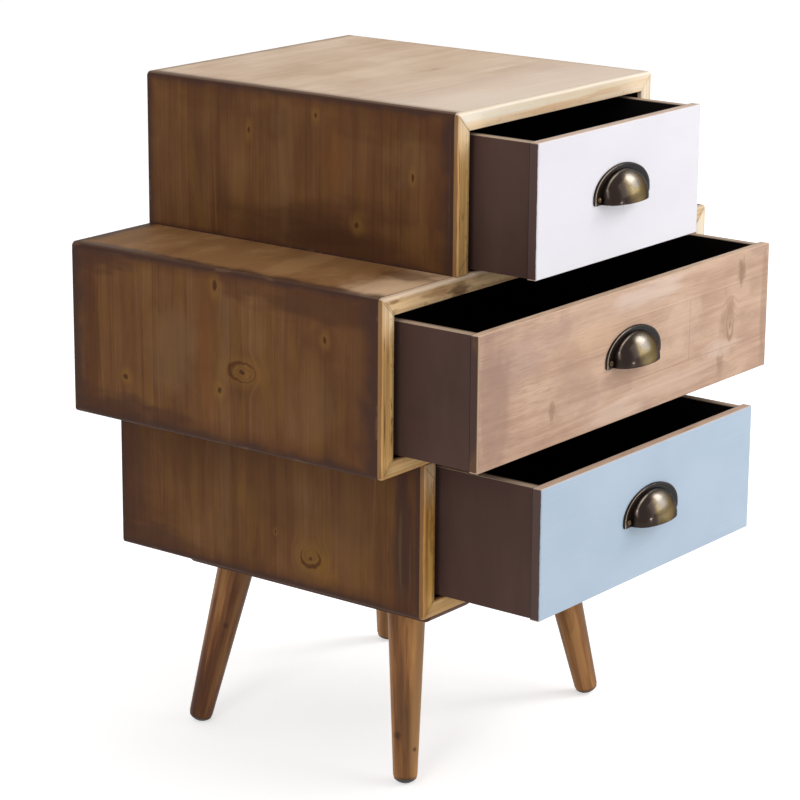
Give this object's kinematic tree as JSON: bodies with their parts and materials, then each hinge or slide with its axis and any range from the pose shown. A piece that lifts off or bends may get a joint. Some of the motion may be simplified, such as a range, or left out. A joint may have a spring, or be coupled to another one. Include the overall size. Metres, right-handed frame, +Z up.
{
  "type": "chest of drawers",
  "caption": "Low chest of drawers in stepped boxes of unequal width, pale wood edges, cup pulls, on splayed tapered legs.",
  "frame": {"origin": "on the floor, under the middle of the whole chest as it stands with its drawers part open", "axes": "+Z up, drawers open towards -Y, +X to the right seen from the front"},
  "size_m": [0.48, 0.4544, 0.589],
  "materials": {
    "stained_softwood": "mid-brown stain, matt",
    "washed_softwood": "beige wash, matt",
    "pale_fir": "clear matt",
    "plywood": "unfinished",
    "dark_stained_wood": "dark stain, matt",
    "oiled_leg_wood": "oiled",
    "dark_plastic": "matt",
    "zinc_steel": "zinc plated",
    "plain_softwood": "planed",
    "white_paint": "white matt paint on wood",
    "washed_front_wood": "grey-beige wash, matt",
    "pale_blue_paint": "pale blue matt paint on wood",
    "taupe_stain": "dark taupe stain, matt",
    "antique_brass": "antiqued, satin"
  },
  "bodies": {
    "cabinet": {"batten_left": "dark_stained_wood", "batten_right": "dark_stained_wood", "batten_screws": "zinc_steel", "box_screws": "zinc_steel", "leg_back_left": "oiled_leg_wood", "leg_back_right": "oiled_leg_wood", "leg_front_left": "oiled_leg_wood", "leg_front_right": "oiled_leg_wood", "leg_glides": "dark_plastic", "leg_hanger_bolts": "zinc_steel", "lower_back_panel": "plywood", "lower_bottom_board": "stained_softwood", "lower_bottom_lipping": "pale_fir", "lower_runners": "plain_softwood", "lower_side_left_board": "stained_softwood", "lower_side_left_lipping": "pale_fir", "lower_side_right_board": "stained_softwood", "lower_side_right_lipping": "pale_fir", "lower_stops": "plain_softwood", "middle_back_panel": "plywood", "middle_bottom_board": "stained_softwood", "middle_bottom_lipping": "pale_fir", "middle_runners": "plain_softwood", "middle_side_left_board": "stained_softwood", "middle_side_left_lipping": "pale_fir", "middle_side_right_board": "stained_softwood", "middle_side_right_lipping": "pale_fir", "middle_stops": "plain_softwood", "middle_top_board": "stained_softwood", "middle_top_lipping": "pale_fir", "upper_back_panel": "plywood", "upper_runners": "plain_softwood", "upper_side_left_board": "stained_softwood", "upper_side_left_lipping": "pale_fir", "upper_side_right_board": "stained_softwood", "upper_side_right_lipping": "pale_fir", "upper_stops": "plain_softwood", "upper_top_board": "washed_softwood", "upper_top_lipping": "pale_fir"},
    "upper_drawer": {"upper_cup_pull": "antique_brass", "upper_drawer_back": "taupe_stain", "upper_drawer_bottom": "taupe_stain", "upper_drawer_front": "white_paint", "upper_drawer_side_left": "taupe_stain", "upper_drawer_side_right": "taupe_stain", "upper_pull_screws": "antique_brass"},
    "middle_drawer": {"middle_cup_pull": "antique_brass", "middle_drawer_back": "taupe_stain", "middle_drawer_bottom": "taupe_stain", "middle_drawer_front": "washed_front_wood", "middle_drawer_side_left": "taupe_stain", "middle_drawer_side_right": "taupe_stain", "middle_pull_screws": "antique_brass"},
    "lower_drawer": {"lower_cup_pull": "antique_brass", "lower_drawer_back": "taupe_stain", "lower_drawer_bottom": "taupe_stain", "lower_drawer_front": "pale_blue_paint", "lower_drawer_side_left": "taupe_stain", "lower_drawer_side_right": "taupe_stain", "lower_pull_screws": "antique_brass"}
  },
  "joints": [
    {"name": "upper_drawer_slide", "type": "slide", "parent": "cabinet", "child": "upper_drawer", "axis": [0, -1, 0], "range_m": [-0.064, 0.166]},
    {"name": "middle_drawer_slide", "type": "slide", "parent": "cabinet", "child": "middle_drawer", "axis": [0, -1, 0], "range_m": [-0.08, 0.15]},
    {"name": "lower_drawer_slide", "type": "slide", "parent": "cabinet", "child": "lower_drawer", "axis": [0, -1, 0], "range_m": [-0.102, 0.128]}
  ]
}
